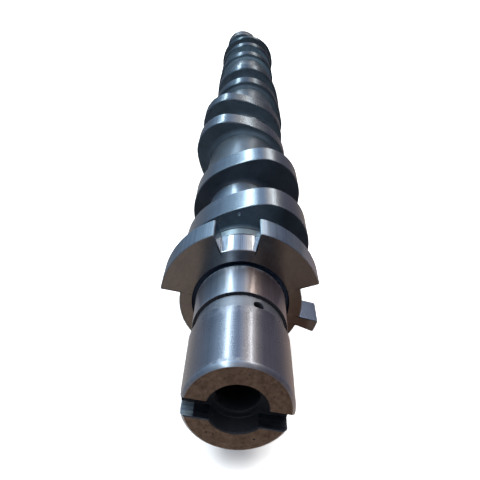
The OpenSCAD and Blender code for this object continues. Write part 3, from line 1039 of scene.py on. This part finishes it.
def bent(name, stops, dist, width, radiance, col):
    """Strip that bends away from the shaft's line: stops are (angle, y), with
    one radiance for each stretch"""
    for k, ((a0, y0), (a1, y1)) in enumerate(zip(stops, stops[1:])):
        p, q = (Vector((dist * math.cos(math.radians(a)), y, dist * math.sin(math.radians(a)))) for a, y in ((a0, y0), (a1, y1)))
        mid, run = (p + q) / 2, q - p
        ob = area("%s %d" % (name, k), mid, (0, mid.y, 0), width, run.length, radiance[k] * width * run.length, col)
        yax = run.normalized()
        zax = Vector((mid.x, 0, mid.z)).normalized()
        xax = yax.cross(zax).normalized()
        zax = xax.cross(yax)
        ob.matrix_world = Matrix.Translation(mid) @ Matrix((xax, yax, zax)).transposed().to_4x4()


bent("left strip", ((113.5, -2.4), (113.5, 4.9), (124.0, 6.3), (130.0, 7.6), (127.0, 10.8)), 1.5, 0.19,
     (11.56, 20.0, 38.0, 42.0), (0.80, 0.93, 1.0))
strip("right strip", 66.5, 1.5, 0.09, 11.9, (0.96, 0.98, 1.0), y0=0.3)
area("soft top", (0.0, 0.2, 2.2), (0, 0.2, 0), 4.0, 4.0, 260, (1, 1, 1), glossy=False)

world = bpy.data.worlds.new("studio")
bpy.context.scene.world = world
world.use_nodes = True
wt = world.node_tree
bg = wt.nodes["Background"]
tc = wt.nodes.new("ShaderNodeTexCoord")
sep = wt.nodes.new("ShaderNodeSeparateXYZ")
wt.links.new(tc.outputs["Generated"], sep.inputs[0])
# colour by the angle about Y, from straight down through +X, up and -X, with one
# set of colours ahead (+Y) and a dimmer one behind the camera (-Y)
wneg = wt.nodes.new("ShaderNodeMath")
wneg.operation = "MULTIPLY"
wt.links.new(sep.outputs["X"], wneg.inputs[0])
wneg.inputs[1].default_value = -1.0
wang = wt.nodes.new("ShaderNodeMath")
wang.operation = "ARCTAN2"
wt.links.new(wneg.outputs[0], wang.inputs[0])
wt.links.new(sep.outputs["Z"], wang.inputs[1])
wdiv = wt.nodes.new("ShaderNodeMath")
wdiv.operation = "MULTIPLY_ADD"
wt.links.new(wang.outputs[0], wdiv.inputs[0])
wdiv.inputs[1].default_value = 0.5 / math.pi
wdiv.inputs[2].default_value = 0.5


def around(stops):
    node = wt.nodes.new("ShaderNodeValToRGB")
    cr = node.color_ramp
    cr.interpolation = "EASE"
    cr.elements[0].position = 0.0
    cr.elements[0].color = (*stops[0][1], 1)
    cr.elements[1].position = 1.0
    cr.elements[1].color = (*stops[-1][1], 1)
    for deg, col in stops[1:-1]:
        e = cr.elements.new((deg + 90) / 360)
        e.color = (*col, 1)
    wt.links.new(wdiv.outputs[0], node.inputs["Fac"])
    return node.outputs["Color"]


AHEAD = around([
    (-90, (0.90, 0.83, 0.78)),    # pale bench
    (-45, (0.50, 0.38, 0.32)),
    (0, (0.12, 0.115, 0.15)),     # dim room to the right
    (42, (0.15, 0.14, 0.18)),
    (70, (0.84, 0.76, 0.73)),     # broad panel, right of overhead
    (92, (0.33, 0.42, 0.60)),
    (116, (0.60, 0.85, 1.15)),    # glow round the left strip
    (150, (0.16, 0.23, 0.34)),
    (190, (0.19, 0.20, 0.24)),    # dim room to the left
    (222, (0.52, 0.49, 0.47)),
    (270, (0.90, 0.83, 0.78)),
])
BEHIND = around([
    (-90, (0.29, 0.23, 0.195)),   # brown bench in front of the part
    (-74, (0.20, 0.145, 0.125)),
    (-30, (0.14, 0.11, 0.11)),
    (20, (0.06, 0.055, 0.075)),
    (50, (0.09, 0.09, 0.11)),
    (88, (0.24, 0.24, 0.28)),
    (116, (0.24, 0.32, 0.42)),
    (160, (0.10, 0.14, 0.20)),
    (210, (0.12, 0.11, 0.12)),
    (254, (0.34, 0.285, 0.26)),
    (270, (0.29, 0.23, 0.195)),
])
wfac = wt.nodes.new("ShaderNodeMapRange")
wfac.interpolation_type = "SMOOTHSTEP"
wfac.inputs["From Min"].default_value = -0.45
wfac.inputs["From Max"].default_value = 0.25
wt.links.new(sep.outputs["Y"], wfac.inputs["Value"])
wmix = wt.nodes.new("ShaderNodeMix")
wmix.data_type = "RGBA"
wt.links.new(wfac.outputs[0], wmix.inputs[0])
wt.links.new(BEHIND, wmix.inputs[6])
wt.links.new(AHEAD, wmix.inputs[7])
wt.links.new(wmix.outputs[2], bg.inputs["Color"])
bg.inputs["Strength"].default_value = 1.0

scene = bpy.context.scene
scene.view_settings.view_transform = "Standard"
scene.view_settings.look = "None"

# -------------------------------------------------------------------- camera
F_PX, SIZE = 580.2, 480.0
YAW, PITCH, ROLL = -0.004442, 0.4796, -0.02709
fwd = Vector((math.sin(YAW) * math.cos(PITCH), math.cos(YAW) * math.cos(PITCH), -math.sin(PITCH)))
right = Vector((math.cos(YAW), -math.sin(YAW), 0))
down = fwd.cross(right)
cr_, sr_ = math.cos(ROLL), math.sin(ROLL)
r2 = cr_ * right + sr_ * down
d2 = -sr_ * right + cr_ * down
cam = bpy.data.cameras.new("camera")
cam.sensor_fit = "HORIZONTAL"
cam.sensor_width = 36.0
cam.lens = 36.0 * F_PX / SIZE
cam.clip_start = 0.005
cam.clip_end = 60
cam_ob = bpy.data.objects.new("camera", cam)
scene.collection.objects.link(cam_ob)
rot = Matrix((r2, -d2, -fwd)).transposed().to_4x4()
cam_ob.matrix_world = Matrix.Translation((0.0, -0.09232 - DATUM * 0.001, 0.08863)) @ rot
scene.camera = cam_ob
